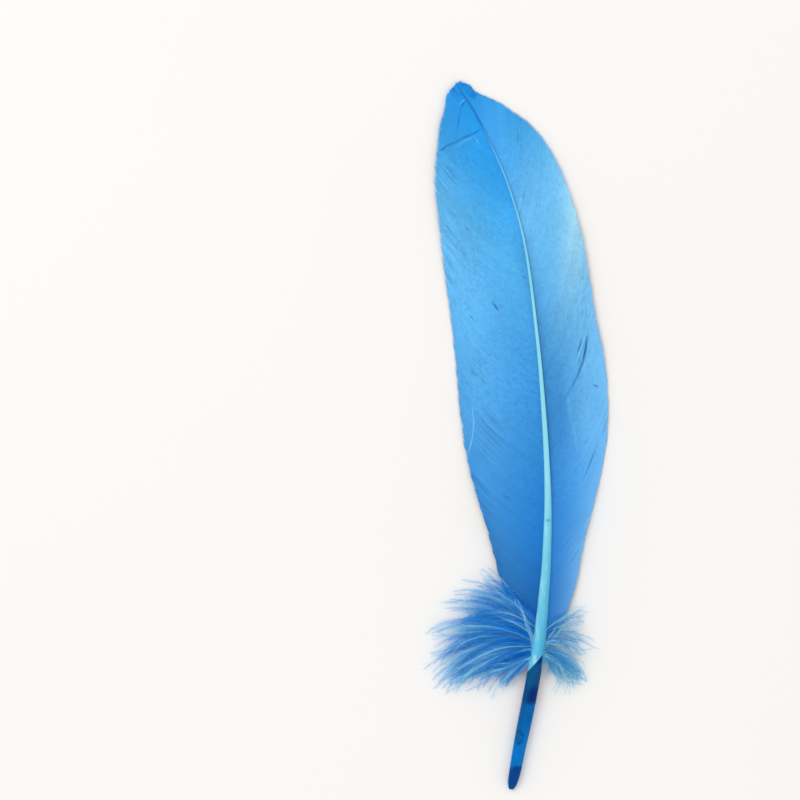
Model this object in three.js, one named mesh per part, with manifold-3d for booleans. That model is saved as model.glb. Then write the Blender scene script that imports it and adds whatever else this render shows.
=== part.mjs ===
// A dyed goose quill feather lying on a table, convex side up.
// Millimetres, +Z up. +Y runs from the quill's end to the feather's tip and +X to the narrow vane.
// The origin is the middle of the feather's outline, on the surface that it lies on.
import * as THREE from "three";
import { mergeVertices } from "three/addons/utils/BufferGeometryUtils.js";
import Module from "manifold-3d";

// Driving dimensions
const LENGTH = 176.9; // from the quill's end to the tip, along Y
const MIDDLE = { x: 0.85, y: LENGTH / 2 - 0.15 }; // of the outline, from the quill's end
const VANE_START = 36; // where the lowest barbs leave the shaft
const VANE_END = 175; // where the last barbs leave it, just short of its tip
const VANE_THICK = { shaft: 0.9, edge: 0.5 }; // at most, beside the shaft, and at the edge
const VANE_SEAT = 1.1; // how thick a vane may be beside the shaft, as a share of its half depth
const VANE_BANDS = 46; // bands of barbs along each vane
const BARB_RELIEF = 0.16; // how far one band of barbs stands above the next
const BAND_STEP = 0.025; // how far every other band falls short of the edge, as a share
const BARB_LEAD = 0.15; // how far a barb's tip runs ahead of its root, as a share of the edge
const FOOT_LEAD = 0.03; // the same at the vane's foot
const BARB_BEND = { along: 0.3, aside: 0.58 }; // where a barb's curve is drawn to, as shares of its span
const CAMBER = 1.9; // how the vane falls from the shaft to its edge: 1 straight, 2 round
const EDGE_WAVE = { lift: 0.45, length: 17, wide: 0.4, narrow: 2.1 }; // of the edge off the table
const SPLIT_WIDTH = 0.9; // how far a split between barbs opens at the edge
const JOIN_TOLERANCE = 0.01; // shorter edges than this go when solids are joined
const FLAT_LENGTH = 17; // how much of the quill lies on the table, on a flat facet

// The shaft from the quill's end to the tip: distance along Y, sideways bend, height of its
// centre, half its width and half its depth.
const SHAFT = [
  [0, 0, 0.95, 0.7, 0.6],
  [1.2, 0.25, 1.1, 1.15, 1.0],
  [4.5, 0.95, 1.35, 1.45, 1.35],
  [10, 1.95, 1.55, 1.6, 1.55],
  [17, 3.4, 1.65, 1.75, 1.65],
  [27, 5.3, 2.4, 1.75, 1.65],
  [37, 6.9, 3.7, 1.65, 1.55],
  [47, 7.85, 5.0, 1.33, 1.35],
  [57, 8.6, 6.1, 1.14, 1.2],
  [75, 8.95, 7.2, 0.88, 1.0],
  [97, 7.75, 7.3, 0.62, 0.78],
  [115, 6.1, 6.4, 0.46, 0.6],
  [137, 3.1, 4.6, 0.33, 0.45],
  [152, -1.2, 3.1, 0.27, 0.36],
  [163, -6.0, 1.9, 0.22, 0.3],
  [170, -9.6, 1.2, 0.18, 0.25],
  [175.5, -13.2, 0.8, 0.14, 0.2],
];

// The edge of each vane from the shaft at the vane's foot to the tip, as [sideways, along] from
// the quill's end. The wide vane is on the left, seen from above.
const WIDE_EDGE = [
  [5.0, 38], [1.2, 43], [-2.6, 51.5], [-5.9, 64], [-10.4, 78.7], [-13.1, 95], [-14.6, 112],
  [-16.3, 124.5], [-18.6, 143.5], [-19.4, 153], [-18.4, 162.5], [-17.1, 169.5], [-15.9, 174.6],
  [-13.9, 176.6],
];
const NARROW_EDGE = [
  [9.2, 37], [12.9, 41.5], [16.3, 51], [18.3, 61.5], [22.2, 77], [24.4, 92], [23.4, 108],
  [20.6, 122], [18.2, 137], [14.7, 149.5], [9.6, 160.7], [3.9, 167.6], [-3.8, 172.9],
  [-9.6, 176.3], [-12.6, 176.8],
];

// Where barbs have come unhooked: place along the vane (0 foot, 1 tip) and how far in the split runs
const WIDE_SPLITS = [
  { at: 0.1, depth: 0.55 }, { at: 0.2, depth: 0.4 }, { at: 0.33, depth: 0.28 },
  { at: 0.62, depth: 0.22 }, { at: 0.77, depth: 0.2 },
];
const NARROW_SPLITS = [
  { at: 0.1, depth: 0.5 }, { at: 0.235, depth: 0.56 }, { at: 0.385, depth: 0.66 },
  { at: 0.8, depth: 0.18 },
];

// Downy locks at the foot of the vanes: where each leaves the shaft, its heading in plan
// (degrees from +X, anticlockwise), how far its heading turns, its length, how high it rises in
// the middle and how high its tip ends.
const DOWN_LOCKS = [
  { from: 33.0, heading: 214, turn: 6, length: 17, rise: 1.2, end: 0.6 },
  { from: 33.6, heading: 205, turn: 14, length: 22, rise: 2.2, end: 0.9 },
  { from: 34.2, heading: 197, turn: 22, length: 26, rise: 1.4, end: 0.6 },
  { from: 34.8, heading: 190, turn: 26, length: 29, rise: 2.8, end: 1.2 },
  { from: 35.4, heading: 183, turn: 24, length: 30, rise: 1.6, end: 0.7 },
  { from: 36.0, heading: 176, turn: 30, length: 28, rise: 3.0, end: 1.6 },
  { from: 36.7, heading: 169, turn: 32, length: 30, rise: 1.8, end: 0.8 },
  { from: 37.5, heading: 162, turn: 36, length: 27, rise: 3.0, end: 1.7 },
  { from: 38.4, heading: 155, turn: 34, length: 27, rise: 1.6, end: 0.8 },
  { from: 39.4, heading: 149, turn: 34, length: 24, rise: 2.6, end: 1.4 },
  { from: 40.6, heading: 143, turn: 30, length: 25, rise: 1.4, end: 0.6 },
  { from: 41.7, heading: 139, turn: 26, length: 21, rise: 1.8, end: 0.9 },
  { from: 33.2, heading: -44, turn: -4, length: 12, rise: 1.0, end: 0.6 },
  { from: 33.8, heading: -34, turn: -12, length: 15, rise: 1.8, end: 0.9 },
  { from: 34.4, heading: -24, turn: -22, length: 17, rise: 1.2, end: 0.6 },
  { from: 35.0, heading: -13, turn: -32, length: 17, rise: 2.4, end: 1.2 },
  { from: 35.7, heading: -2, turn: -40, length: 16, rise: 1.4, end: 0.7 },
  { from: 36.6, heading: 10, turn: -44, length: 17, rise: 2.4, end: 1.3 },
  { from: 37.8, heading: 24, turn: -42, length: 15, rise: 1.4, end: 0.7 },
  { from: 39.4, heading: 38, turn: -34, length: 14, rise: 2.0, end: 1.0 },
];
const LOCK_HALF_WIDTH = 1.5;
const LOCK_HALF_DEPTH = 0.55;
const LOCK_ROOT = 0.9; // height of a lock's root above the table, at least

// A smooth value read from rows whose first number is the place: cubic between rows.
function read(rows, place, column) {
  const last = rows.length - 1;
  let i = 0;
  while (i < last - 1 && place > rows[i + 1][0]) i++;
  const slope = (k) => {
    const a = rows[Math.max(k - 1, 0)];
    const b = rows[Math.min(k + 1, last)];
    return (b[column] - a[column]) / (b[0] - a[0]);
  };
  const [p, q] = [rows[i], rows[i + 1]];
  const span = q[0] - p[0];
  const t = Math.min(Math.max((place - p[0]) / span, 0), 1);
  const [t2, t3] = [t * t, t * t * t];
  return (
    p[column] * (2 * t3 - 3 * t2 + 1) +
    q[column] * (3 * t2 - 2 * t3) +
    slope(i) * span * (t3 - 2 * t2 + t) +
    slope(i + 1) * span * (t3 - t2)
  );
}

const shaftAt = (y) => new THREE.Vector3(read(SHAFT, y, 1), y, read(SHAFT, y, 2));
const mix = THREE.MathUtils.lerp;

// The shaft's direction in plan at y, and the direction to its right
function headingAt(y) {
  const step = 0.5;
  const along = shaftAt(y + step).sub(shaftAt(y - step)).setZ(0).normalize();
  return { along, right: new THREE.Vector3(along.y, -along.x, 0) };
}

// A vane's edge as a smooth curve, read by its share of the whole length
function edgeCurve(points) {
  const path = points.map(([x, y]) => new THREE.Vector3(x, y, 0));
  return new THREE.CatmullRomCurve3(path, false, "centripetal");
}

const edges = { "-1": edgeCurve(WIDE_EDGE), 1: edgeCurve(NARROW_EDGE) };

// How high a vane's edge lies: it touches the table in two stretches and lifts a little elsewhere
function edgeHeight(y, side) {
  const start = side < 0 ? EDGE_WAVE.wide : EDGE_WAVE.narrow;
  const wave = Math.sin((y - VANE_START) / EDGE_WAVE.length + start);
  return VANE_THICK.edge / 2 + EDGE_WAVE.lift * (1 + wave);
}

// A point of a vane: place 0 to 1 from its foot to the tip, reach from the shaft to the edge, 0 to 1
// on the narrow vane and 0 to -1 on the wide one
function vanePoint(place, reach) {
  const side = reach < 0 ? -1 : 1;
  const out = Math.abs(reach);
  const y = mix(VANE_START, VANE_END, place);
  const { along, right } = headingAt(y);
  const root = shaftAt(y).setZ(0);
  const lead = BARB_LEAD * Math.sin(Math.PI * place) + FOOT_LEAD * (1 - place);
  const end = edges[side].getPointAt(Math.min(place + lead, 1));
  const span = end.clone().sub(root);
  const bend = root
    .clone()
    .addScaledVector(along, BARB_BEND.along * span.dot(along))
    .addScaledVector(right, BARB_BEND.aside * span.dot(right));
  const point = new THREE.QuadraticBezierCurve3(root, bend, end).getPoint(out);
  const aside = 1.16 * out - 0.16 * out * out;
  const top = read(SHAFT, Math.min(point.y, VANE_END), 2);
  point.z = mix(top, edgeHeight(point.y, side), aside ** CAMBER);
  return point;
}

// The tapering shaft: a cylinder bent along the shaft's line, with a flat facet underneath
function shaftGeometry() {
  const sides = 12;
  const steps = 64;
  const flat = Math.cos(Math.PI / sides);
  const shape = new THREE.CylinderGeometry(1, 1, 1, sides, steps);
  shape.rotateY(Math.PI / sides);
  const { position } = shape.attributes;
  const corner = new THREE.Vector3();
  for (let i = 0; i < position.count; i++) {
    corner.fromBufferAttribute(position, i);
    const share = corner.y + 0.5;
    const y = SHAFT.at(-1)[0] * mix(share, share * share, 0.35);
    const { right } = headingAt(THREE.MathUtils.clamp(y, 0.5, VANE_END));
    const place = shaftAt(y).addScaledVector(right, corner.x * read(SHAFT, y, 3));
    const depth = read(SHAFT, y, 4);
    const lift = y < FLAT_LENGTH ? depth * flat - place.z : 0;
    place.z += lift + corner.z * depth;
    position.setXYZ(i, place.x, place.y, place.z);
  }
  return shape;
}

// Both vanes: a box whose width runs out along the barbs and whose height runs up the shaft
function vanesGeometry() {
  const across = 16;
  const shape = new THREE.BoxGeometry(1, 1, 1, across, VANE_BANDS, 1);
  const { position } = shape.attributes;
  for (let i = 0; i < position.count; i++) {
    const reach = position.getX(i) * 2;
    const out = Math.abs(reach);
    const place = position.getY(i) + 0.5;
    const odd = Math.round(place * VANE_BANDS) % 2;
    const point = vanePoint(place, reach * (odd ? 1 : 1 - BAND_STEP));
    const depth = read(SHAFT, mix(VANE_START, VANE_END, place), 4);
    const root = Math.min(VANE_THICK.shaft, VANE_SEAT * depth);
    const thick = mix(root, VANE_THICK.edge, out);
    const relief = position.getZ(i) > 0 && odd ? BARB_RELIEF * Math.min(3 * out, 1) : 0;
    position.setXYZ(i, point.x, point.y, point.z + position.getZ(i) * thick + relief);
  }
  return shape;
}

// A split between barbs: a thin upright wedge from inside the vane to past its edge
function splitGeometry(side, { at, depth }) {
  const shape = new THREE.BoxGeometry(1, 1, 1, 6, 1, 1);
  const { position } = shape.attributes;
  for (let i = 0; i < position.count; i++) {
    const open = position.getX(i) + 0.5;
    const reach = mix(1 - depth, 1, open);
    const point = vanePoint(at, side * reach);
    const past = vanePoint(at, side * (reach - 0.02));
    const out = point.clone().sub(past).setZ(0).normalize();
    if (open > 0.99) point.addScaledVector(out, 2);
    const half = mix(0.03, SPLIT_WIDTH / 2, open);
    const aside = position.getY(i) * 2 * half;
    const height = point.z + position.getZ(i) * 6;
    position.setXYZ(i, point.x - out.y * aside, point.y + out.x * aside, height);
  }
  return shape;
}

// A downy lock: a cone bent along its path, flattened, with its point at the far end
function lockGeometry({ from, heading, turn, length, rise, end }) {
  const shape = new THREE.ConeGeometry(1, 1, 6, 8);
  const { position } = shape.attributes;
  const root = shaftAt(from);
  root.z = Math.max(root.z - 0.4, LOCK_ROOT);
  const pathAt = (share) => {
    const point = root.clone();
    const pieces = 12;
    for (let k = 0; k < pieces; k++) {
      const angle = THREE.MathUtils.degToRad(heading + turn * ((share * (k + 0.5)) / pieces));
      const step = (length * share) / pieces;
      point.x += Math.cos(angle) * step;
      point.y += Math.sin(angle) * step;
    }
    point.z = mix(root.z, end, share) + rise * Math.sin(Math.PI * share) * (1 - 0.4 * share);
    return point;
  };
  for (let i = 0; i < position.count; i++) {
    const share = position.getY(i) + 0.5;
    const taper = Math.max(1 - share, 1e-6);
    const round = Math.hypot(position.getX(i), position.getZ(i)) / taper;
    const swell = share > 0.999 ? 0 : round * Math.sin(Math.PI * (0.2 + 0.8 * share)) ** 0.7;
    const point = pathAt(share);
    const angle = THREE.MathUtils.degToRad(heading + turn * share);
    const turned = Math.atan2(position.getZ(i), position.getX(i));
    const aside = Math.cos(turned) * LOCK_HALF_WIDTH * swell;
    point.x += Math.sin(angle) * aside;
    point.y -= Math.cos(angle) * aside;
    point.z = Math.max(point.z + Math.sin(turned) * LOCK_HALF_DEPTH * swell, 0);
    position.setXYZ(i, point.x, point.y, point.z);
  }
  return shape;
}

// Joining, done by manifold-3d
const wasm = await Module();
wasm.setup();

function solid(shape) {
  shape.deleteAttribute("normal");
  shape.deleteAttribute("uv");
  const merged = mergeVertices(shape, 1e-4);
  const made = new wasm.Manifold(
    new wasm.Mesh({
      numProp: 3,
      tolerance: JOIN_TOLERANCE,
      vertProperties: merged.attributes.position.array,
      triVerts: new Uint32Array(merged.index.array),
    }),
  );
  return made;
}

function geometry(made) {
  const mesh = made.getMesh();
  const shape = new THREE.BufferGeometry();
  shape.setAttribute("position", new THREE.BufferAttribute(mesh.vertProperties, 3));
  shape.setIndex(new THREE.BufferAttribute(mesh.triVerts, 1));
  shape.computeVertexNormals();
  return shape;
}

let vanes = solid(vanesGeometry());
for (const split of WIDE_SPLITS) vanes = vanes.subtract(solid(splitGeometry(-1, split)));
for (const split of NARROW_SPLITS) vanes = vanes.subtract(solid(splitGeometry(1, split)));
let whole = solid(shaftGeometry()).add(vanes);
for (const lock of DOWN_LOCKS) whole = whole.add(solid(lockGeometry(lock)));

// The shaft, its vanes and its down grew as one piece, so the feather is one mesh
const feather = new THREE.Mesh(
  geometry(whole),
  new THREE.MeshStandardMaterial({ color: 0x4aa3e6, roughness: 0.62, metalness: 0 }),
);
feather.name = "feather";
feather.position.set(-MIDDLE.x, -MIDDLE.y, 0);

const part = new THREE.Group();
part.add(feather);
export default part;
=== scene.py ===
# A dyed goose quill feather, lying convex side up on a pale table.
# Its places are in millimetres from the quill's end: +Y runs to the tip, +X to the narrow vane
# and +Z up. in_frame() turns them into the frame's metres.
import math

import bpy
import numpy as np
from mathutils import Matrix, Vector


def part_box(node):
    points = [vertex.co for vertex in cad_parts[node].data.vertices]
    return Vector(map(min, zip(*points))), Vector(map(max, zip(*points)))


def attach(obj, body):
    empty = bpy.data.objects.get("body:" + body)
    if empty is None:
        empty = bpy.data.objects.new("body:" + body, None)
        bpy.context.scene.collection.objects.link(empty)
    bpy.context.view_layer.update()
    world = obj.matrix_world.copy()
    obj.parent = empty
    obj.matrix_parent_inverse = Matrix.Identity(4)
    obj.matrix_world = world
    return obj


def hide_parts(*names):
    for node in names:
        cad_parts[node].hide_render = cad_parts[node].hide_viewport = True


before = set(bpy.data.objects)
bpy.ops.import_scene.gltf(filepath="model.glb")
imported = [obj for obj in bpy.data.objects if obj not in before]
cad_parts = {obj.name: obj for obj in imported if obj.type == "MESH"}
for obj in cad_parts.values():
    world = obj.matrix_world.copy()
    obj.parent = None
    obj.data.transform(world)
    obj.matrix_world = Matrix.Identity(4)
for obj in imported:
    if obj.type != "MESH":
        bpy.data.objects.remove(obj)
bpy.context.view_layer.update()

MM = 0.001
UPWARD = (0, 0, 1)

# Driving dimensions, the same as the solid's
MIDDLE = (0.85, 88.3)  # of the feather's outline, from the quill's end
VANE_START = 36  # where the lowest barbs leave the shaft
VANE_END = 175  # where the last barbs leave it
BARB_LEAD = 0.15  # how far a barb's tip runs ahead of its root, as a share of the edge
FOOT_LEAD = 0.03  # the same at the vane's foot
BARB_BEND = (0.3, 0.58)  # where a barb's curve is drawn to: along and aside, as shares of its span
CAMBER = 1.9  # how the vane falls from the shaft to its edge: 1 straight, 2 round
EDGE_REST = 0.25  # height of a vane's edge where it touches the table
EDGE_WAVE = (0.45, 17.0)  # how the edge lifts off the table: height and length of the wave
FLAT_LENGTH = 17  # how much of the quill lies on the table

# The shaft from the quill's end to the tip: distance along Y, sideways bend, height of its
# centre, half its width and half its depth.
SHAFT = (
    (0, 0, 0.95, 0.7, 0.6),
    (1.2, 0.25, 1.1, 1.15, 1.0),
    (4.5, 0.95, 1.35, 1.45, 1.35),
    (10, 1.95, 1.55, 1.6, 1.55),
    (17, 3.4, 1.65, 1.75, 1.65),
    (27, 5.3, 2.4, 1.75, 1.65),
    (37, 6.9, 3.7, 1.65, 1.55),
    (47, 7.85, 5.0, 1.33, 1.35),
    (57, 8.6, 6.1, 1.14, 1.2),
    (75, 8.95, 7.2, 0.88, 1.0),
    (97, 7.75, 7.3, 0.62, 0.78),
    (115, 6.1, 6.4, 0.46, 0.6),
    (137, 3.1, 4.6, 0.33, 0.45),
    (152, -1.2, 3.1, 0.27, 0.36),
    (163, -6.0, 1.9, 0.22, 0.3),
    (170, -9.6, 1.2, 0.18, 0.25),
    (175.5, -13.2, 0.8, 0.14, 0.2),
)
BEND, HEIGHT, HALF_WIDTH, HALF_DEPTH = range(1, 5)  # the columns of those rows
SHAFT_END = SHAFT[-1][0]
SHAFT_SIDES = 32
END_LENGTH = 1.2  # of the quill's rounded end
QUILL_LENGTH = 34  # up to the first down
BOX_START = 36  # where the shaft begins to turn from round to boxy
BOX_LENGTH = 14  # how far it takes to turn
BOX_POWER = 0.78  # how boxy it gets: 1 is round
GROOVE_DEPTH = 0.45  # of the groove under the rachis, as a share of its half depth
GROOVE_WIDTH = 0.34  # the same, as a share of its half width
END_RINGS = ((-0.25, 0.75), (-0.1, 0.45), (0.9, 0.3))  # around the quill's pit: depth and size
PIT_DEPTH = 1.1
TIP_POINT = 0.7  # how far the tip's point is past the last ring
ROOT_RISE = 0.15  # how high on the shaft's side barbs leave it, as a share of its half depth

# The vanes. Each has its edge from foot to tip, as (sideways, along), which near the tip is closer
# to the feather's than the solid's is. The rest says how it is worn, and where light and shade are
# painted on it:
# - splits where barbs have come unhooked: place along the vane, depth as a share of the barb, how
#   wide it opens in millimetres, and whether its edge has closed again
# - how ragged the edge is
# - loose barbs: from one place along the vane to another, the share of barbs, and how much
#   longer they reach
# - how far the dye is washed out: place along the vane, then how much beside the shaft and at
#   the edge
# - how light it is, as painted light and shade along with the dye's own lightness: place along the
#   vane, then more or less light beside the shaft and at the edge
# - how dark the painted shade in the groove beside the shaft is
# - frays where barbs stand apart: sideways, along, their half sizes, and how strongly
WIDE_VANE = {
    "side": -1,
    "tip_fan": True,
    "wave_start": 0.4,
    "seed": 11,
    "edge": (
        (5, 38), (1.2, 43), (-2.6, 51.5), (-5.9, 64), (-10.4, 78.7), (-13.1, 95), (-14.6, 112),
        (-16.3, 124.5), (-18.6, 143.5), (-19.4, 153), (-18.7, 161.5), (-18.1, 166.4),
        (-16.9, 170.2), (-16.2, 174), (-14, 176.4),
    ),
    "splits": (
        (0.1, 0.55, 0.16, False), (0.2, 0.4, 0.14, False), (0.33, 0.28, 0.12, False),
        (0.62, 0.22, 0.08, False),
    ),
    "ragged": 0.0045,
    "loose": (0.05, 0.27, 0.16, 0.045),
    "pale": ((0.2, 0, 0), (0.62, 0, 0.12), (1, 0, 0)),
    "light": ((0, -0.25, -0.25), (0.08, -0.18, -0.18), (0.18, -0.02, -0.02), (0.5, 0.02, 0.03),
              (0.6, 0.02, 0), (0.7, 0.06, -0.09), (0.8, 0.08, -0.05), (0.9, 0.09, 0.05),
              (1, 0.06, 0.06)),
    "groove": 0.1,
    "frays": (
        (-15.8, 153, 2.6, 3.5, 0.14), (-15.4, 135, 2.4, 11, 0.2),
        (-5.8, 89, 3.6, 8, 0.12), (-8.4, 71, 3.2, 9, 0.12), (-9, 105, 3.5, 7, 0.06),
    ),
}
NARROW_VANE = {
    "side": 1,
    "tip_fan": False,
    "wave_start": 2.1,
    "seed": 23,
    "edge": (
        (9.2, 37), (12.9, 41.5), (16.3, 51), (18.3, 61.5), (22.2, 77), (24.4, 92), (23.4, 108),
        (20.6, 122), (18.2, 137), (14.7, 149.5), (9.6, 160.7), (4.1, 167.2), (0.4, 169.7),
        (-3, 172), (-6.4, 173.5), (-9.2, 174.8), (-10.6, 176.4), (-12.6, 176.8),
    ),
    "splits": (
        (0.1, 0.5, 0.12, False), (0.235, 0.56, 0.12, False), (0.385, 0.66, 0.2, True),
        (0.8, 0.18, 0.06, False),
    ),
    "ragged": 0.004,
    "loose": (0.02, 0.22, 0.1, 0.03),
    "pale": ((0, 0.04, 0.34), (0.3, 0.04, 0.3), (0.44, 0.03, 0.34), (0.5, 0.04, 0.82),
             (0.55, 0.06, 1.15), (0.59, 0.08, 0.72), (0.65, 0.14, 0.32), (0.7, 0.24, 0.12),
             (0.75, 0.26, 0.02), (0.8, 0.18, 0), (0.86, 0.12, 0.06), (1, 0, 0)),
    "light": ((0, 0.06, 0.38), (0.18, 0.04, 0.38), (0.24, 0.03, 0.33), (0.31, -0.02, 0.25),
              (0.4, -0.1, 0.1), (0.5, -0.1, -0.05), (0.57, -0.02, 0.07), (0.68, 0.06, 0.05),
              (0.78, 0.11, -0.04), (0.86, 0.13, 0.05), (1, 0.07, 0.08)),
    "groove": 0.4,
    "frays": (
        (17.4, 110, 1.6, 4, 0.16), (20.8, 126, 1.2, 2.5, 0.16),
        (3.8, 146, 3.5, 5.5, 0.07), (15, 60.5, 2.8, 4.5, 0.12),
    ),
}
BARB_COUNT = 680  # on each vane
BARB_STEPS = 26
BARB_OVERLAP = 1.25  # how much wider a barb is than the space that it fills
BARB_RIDGE = 0.12  # a barb's depth as a share of its width
TIP_BARBS = 60  # that fan out over the shaft's tip
TIP_HEADINGS = (148, 52)  # degrees, from the first of them to the last
TIP_TAPER = 0.02  # the share of a barb over which it narrows to its point
BUNCHING = 0.05  # how far the barbs of a bunch draw together at the edge, in millimetres
BUNCH_SIZES = (6, 20)
BARB_HALF_WIDTHS = (0.045, 0.42)  # the narrowest and the widest barb, in millimetres
WHOLE_BARBS = 0.992  # the share of barbs whose tips aren't broken
SPLIT_SPREAD = 0.011  # how far along the vane a split pushes its neighbours aside
TOUSLE_START = 0.95  # the place along the vane past which its barbs are tousled
TOUSLE_LENGTH = 0.05
FLAW_HALF_WIDTH = 0.2
FLAW_DEPTH = 0.4

# Small dark flaws where barbules are torn: sideways, along, and length along the barb
FLAWS = (
    (-11.1, 140.2, 0.6), (2.8, 148.4, 0.7), (-1.4, 73, 0.8), (1.6, 163, 1),
    (-9.5, 104, 0.8), (3, 128, 0.6), (-12, 134, 0.8), (18.4, 86.8, 0.8),
)

# Painted shade on the vanes, in creases, in gaps where barbs have parted and beside the shaft, drawn
# as strokes that fade towards their ends and sides: from one point to another, (sideways, along)
# both, then the half width and the strength.
PAINTED_SHADE_STROKES = (
    # Painted shade in a fold and a crease pressed across the wide vane near the tip
    (-11.2, 173, -13, 169.6, 0.28, 0.85),
    (-12.6, 171, -13.8, 163.4, 0.26, 0.75),
    (-7.2, 165.4, -10.6, 163.2, 0.42, 0.7),
    (-9.4, 163.9, -12.9, 162.6, 0.48, 0.85),
    (-12, 163, -14.6, 161.2, 0.42, 0.6),
    (-13.4, 162.1, -17.2, 160.5, 0.5, 0.75),
    (-15.8, 161, -18.4, 159.3, 0.46, 0.85),
    # The shade beside the upper shaft
    (0.4, 142, 4.9, 116, 2.2, 0.18),
    (3, 142, 6.6, 118, 2.6, 0.24),
    (5.3, 129, 8, 105, 2.6, 0.22),
    # Painted shade over the narrow vane's inner half, below its parting
    (11.4, 108, 12.8, 82, 2.8, 0.24),
    # Painted shade in the gaps where barbs have parted on the narrow vane
    (19.1, 114.6, 18.3, 108.4, 0.42, 1),
    (18.8, 111.6, 17.5, 105.2, 0.5, 1),
    (17.7, 112.8, 16.4, 108.4, 0.36, 0.8),
    (17.2, 108.6, 16.6, 105.4, 0.2, 0.4),
    (18.9, 122, 18.6, 116.8, 0.2, 0.35),
    (18, 107.6, 16, 102, 0.42, 0.9),
    (16.9, 104.4, 14.2, 98.8, 0.34, 0.7),
    (15, 100.8, 12.8, 96.6, 0.28, 0.5),
    (20.1, 101.2, 22, 100.4, 0.36, 0.9),
    (24.4, 94.6, 22.2, 86.2, 0.2, 0.45),
    (21.9, 87.2, 17.6, 76.6, 0.26, 0.85),
    (20.4, 126, 21.1, 127.4, 0.18, 0.6),
    (20.8, 125.2, 21.8, 127.2, 0.18, 0.6),
    # Painted shade in the gaps where barbs have parted on the wide vane
    (-15.8, 155.3, -14.2, 152, 0.16, 0.35),
    (-16.8, 153.5, -15.4, 150.8, 0.14, 0.35),
    (-15, 154.6, -13.8, 151.6, 0.16, 0.35),
    (-5.1, 122.1, -3.2, 119.5, 0.36, 0.95),
    (-4.4, 120.9, -3, 119, 0.22, 0.6),
    (-10.9, 119, -9.1, 116.9, 0.24, 0.7),
    (-5.8, 133.8, -2.6, 130.2, 0.18, 0.5),
)
# Painted highlights beside the fold, the crease and the parted barbs, painted light over the narrow
# vane's outer half, and a few pale barb lines, in the same columns
PALE_AND_HIGHLIGHT_STROKES = (
    (-8.4, 164, -14.8, 160.2, 0.4, 0.2),
    (-9.6, 163.4, -7.6, 160.8, 0.25, 0.3),
    (-11, 173.2, -13.4, 171, 0.2, 0.5),
    (13.4, 101.6, 14.8, 91.2, 0.7, 0.14),
    (14.2, 96, 17, 82.2, 0.7, 0.14),
    (18, 106, 18.6, 80, 2.8, 0.1),
    (20.4, 125.6, 22, 116.4, 0.45, 0.3),
    (17.3, 111, 16.6, 106.8, 0.22, 0.45),
    (17.8, 109.8, 17.2, 106.4, 0.18, 0.4),
    (19, 107.8, 17.5, 103.8, 0.3, 0.4),
    (21.4, 69, 18, 64.2, 0.2, 0.5),
    (17.6, 63, 13, 57.6, 0.18, 0.3),
    (2.3, 148.2, 2.5, 146.8, 0.18, 0.4),
    (-9.9, 97, -9.4, 90, 0.2, 0.4),
    (-9.4, 93.4, -9.8, 86.6, 0.22, 0.5),
    (-9.6, 89, -10.9, 83, 0.22, 0.6),
    (22.6, 71.6, 20.6, 69, 0.25, 0.7),
    (20, 68.4, 17.8, 64.8, 0.25, 0.7),
)

# The same for a dull mark on the rachis and a ring-shaped stain on the quill
RACHIS_MARK = ((8, 67.4, 10, 67.2, 0.7, 1), (8.3, 66.2, 9.2, 66.2, 0.4, 0.5))
QUILL_RING = (
    (0.8, 14.2, 2.5, 14.4, 0.7, 0.8), (1.9, 14.9, 3.3, 12.4, 0.7, 0.9),
    (3, 13, 1.8, 11, 0.7, 0.8), (2.4, 11.2, 0.8, 11.7, 0.7, 0.7),
    (0.4, 13, 2.4, 12.6, 1, 0.6),
)

# Downy locks at the foot of the vanes: where each leaves the shaft, its heading in plan
# (degrees from +X, anticlockwise), how far its heading turns, its length, how high it rises in
# the middle and how high its tip ends.
LEFT_LOCKS = (
    (33, 206, 8, 13, 1.2, 0.6), (33.6, 196, 20, 19, 2.2, 0.9), (34.2, 188, 32, 24, 1.4, 0.6),
    (34.8, 180, 46, 29, 2.8, 1.2), (35.4, 172, 48, 30, 1.6, 0.7), (36, 163, 56, 28, 3, 1.6),
    (36.7, 155, 60, 30, 1.8, 0.8), (37.5, 148, 64, 27, 3, 1.7), (38.4, 141, 62, 27, 1.6, 0.8),
    (39.4, 135, 60, 24, 2.6, 1.4), (40.6, 130, 54, 25, 1.4, 0.6), (41.7, 128, 46, 21, 1.8, 0.9),
)
RIGHT_LOCKS = (
    (33.2, -44, -4, 12, 1, 0.6), (33.8, -34, -12, 14, 1.8, 0.9), (34.4, -24, -22, 15, 1.2, 0.6),
    (35, -13, -32, 15, 2.4, 1.2), (35.7, -2, -40, 14, 1.4, 0.7), (36.6, 10, -44, 15, 2.4, 1.3),
    (37.8, 26, -42, 14, 1.4, 0.7), (39.4, 44, -34, 14, 2, 1),
)
# Single long barbs that stray from them, some up over the vanes
LEFT_STRAYS = (
    (35.6, 99, 6, 15, 1, 4.8), (36.4, 107, 8, 13, 1, 4.2), (35.8, 132, 26, 18, 1.2, 1.6),
    (35.2, 139, 18, 22, 1.4, 1), (34.4, 147, 8, 25, 1.6, 0.8), (33.4, 199, 2, 21, 1.8, 0.8),
    (33, 204, -4, 24, 1.6, 0.6), (32.6, 232, 4, 9, 1, 0.5),
)
RIGHT_STRAYS = (
    (35.4, 64, -14, 11, 1, 3), (35, 54, -34, 13.5, 1, 1.6), (34.4, 4, -76, 16, 1.8, 0.8),
    (33.8, -18, -84, 15, 1.6, 0.7), (33.4, -30, -96, 14, 1.4, 0.6), (34, -8, -120, 14, 1.8, 0.8),
)
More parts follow.
